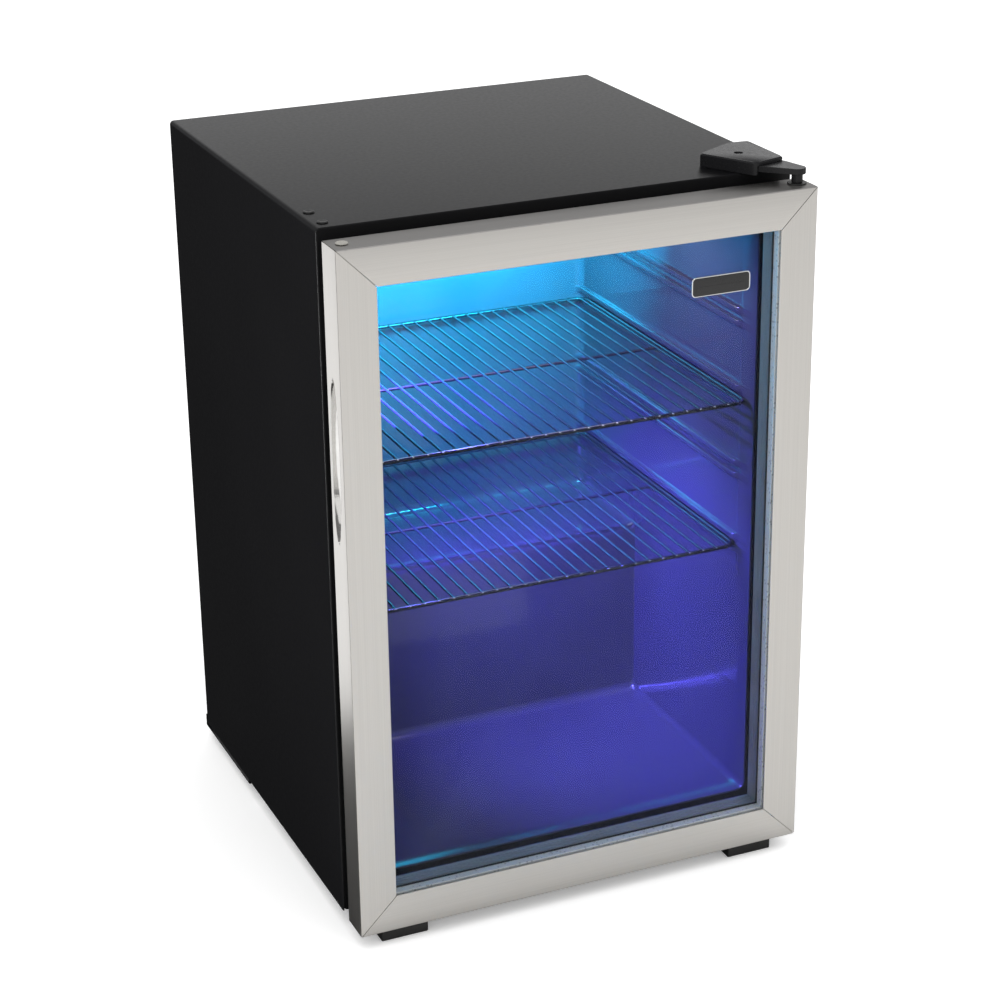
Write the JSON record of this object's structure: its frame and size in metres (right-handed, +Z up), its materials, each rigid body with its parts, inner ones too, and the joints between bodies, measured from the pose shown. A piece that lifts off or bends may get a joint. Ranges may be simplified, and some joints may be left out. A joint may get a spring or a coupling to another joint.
{
  "type": "mini fridge",
  "caption": "Compact fridge with a glass door in a stainless frame, wire shelves on moulded ribs, a recessed edge grip, a corner hinge and a compressor bay at the back.",
  "frame": {"origin": "middle of the footprint on the floor", "axes": "+Z up, -Y out of the glass door, +X towards the hinge side"},
  "size_m": [0.445, 0.474, 0.6735],
  "materials": {
    "black_steel": "satin black paint",
    "stainless": "fine brushed stainless steel",
    "black_plastic": "fine moulded texture",
    "grey_plastic": "satin grey extrusion",
    "rubber": "soft dark grey seal",
    "liner_plastic": "glossy dark vacuum-formed sheet",
    "foam": "rigid insulating foam",
    "zinc_steel": "zinc-coated steel",
    "black_wire": "black coated wire",
    "copper": "drawn copper tube",
    "aluminium": "mill finish",
    "glass": "clear float glass",
    "chrome": "bright chrome",
    "pale_plastic": "pale moulded plastic",
    "circuit_board": "solder mask"
  },
  "bodies": {
    "cabinet": {"outer_wrapper": "black_steel", "bottom_panel": "zinc_steel", "back_panel": "zinc_steel", "front_frame": "black_steel", "inner_liner": "liner_plastic", "insulation_foam": "foam", "evaporator_plate": "aluminium", "condenser_coil": "copper", "compressor_tray": "black_steel", "compressor_base": "zinc_steel", "compressor": "black_steel", "compressor_grommet_1": "rubber", "compressor_grommet_2": "rubber", "compressor_grommet_3": "rubber", "compressor_grommet_4": "rubber", "relay_cover": "black_plastic", "drain_pan": "pale_plastic", "suction_tube": "copper", "discharge_tube": "copper", "filter_drier": "copper", "power_inlet": "black_plastic", "rear_spacer_left": "rubber", "rear_spacer_right": "rubber", "rear_foot_left": "rubber", "rear_foot_right": "rubber", "front_foot_left": "black_plastic", "front_foot_right": "black_plastic", "bottom_hinge_bracket": "zinc_steel", "bottom_hinge_pin": "zinc_steel", "top_hinge_bracket": "black_steel", "top_hinge_pin": "black_steel", "top_hinge_cover": "black_plastic", "top_hinge_cover_screw": "zinc_steel", "top_plug_front": "black_plastic", "top_plug_back": "black_plastic", "control_housing": "pale_plastic", "thermostat": "zinc_steel", "led_lens": "glass", "led_board": "circuit_board"},
    "door": {"door_skin_top": "stainless", "door_skin_bottom": "stainless", "door_skin_left": "stainless", "door_skin_right": "stainless", "door_inner_frame": "grey_plastic", "glass_outer": "glass", "glass_inner": "glass", "glass_spacer": "aluminium", "door_gasket": "rubber", "handle_cup": "chrome", "hinge_bushing_top": "black_plastic", "hinge_bushing_bottom": "black_plastic", "hinge_hole_plug": "pale_plastic", "badge": "black_plastic"},
    "shelf_upper": {"upper_shelf": "black_wire"},
    "shelf_lower": {"lower_shelf": "black_wire"},
    "knob": {"thermostat_knob": "pale_plastic"},
    "switch": {"light_switch": "black_plastic"}
  },
  "joints": [
    {"name": "door_swing", "type": "hinge", "parent": "cabinet", "child": "door", "pos_m": [0.2108, -0.22045, 0.0148], "axis": [0, 0, 1], "range_deg": [0, 120]},
    {"name": "upper_shelf_slide", "type": "slide", "parent": "cabinet", "child": "shelf_upper", "axis": [0, -1, 0], "range_m": [-0.008, 0.018]},
    {"name": "lower_shelf_slide", "type": "slide", "parent": "cabinet", "child": "shelf_lower", "axis": [0, -1, 0], "range_m": [-0.008, 0.034]},
    {"name": "knob_turn", "type": "hinge", "parent": "cabinet", "child": "knob", "pos_m": [0, -0.17145, 0.6125], "axis": [0, -1, 0], "range_deg": [0, 270]},
    {"name": "switch_rock", "type": "hinge", "parent": "cabinet", "child": "switch", "pos_m": [0.04, -0.16995, 0.6125], "axis": [1, 0, 0], "range_deg": [-10, 0]}
  ]
}
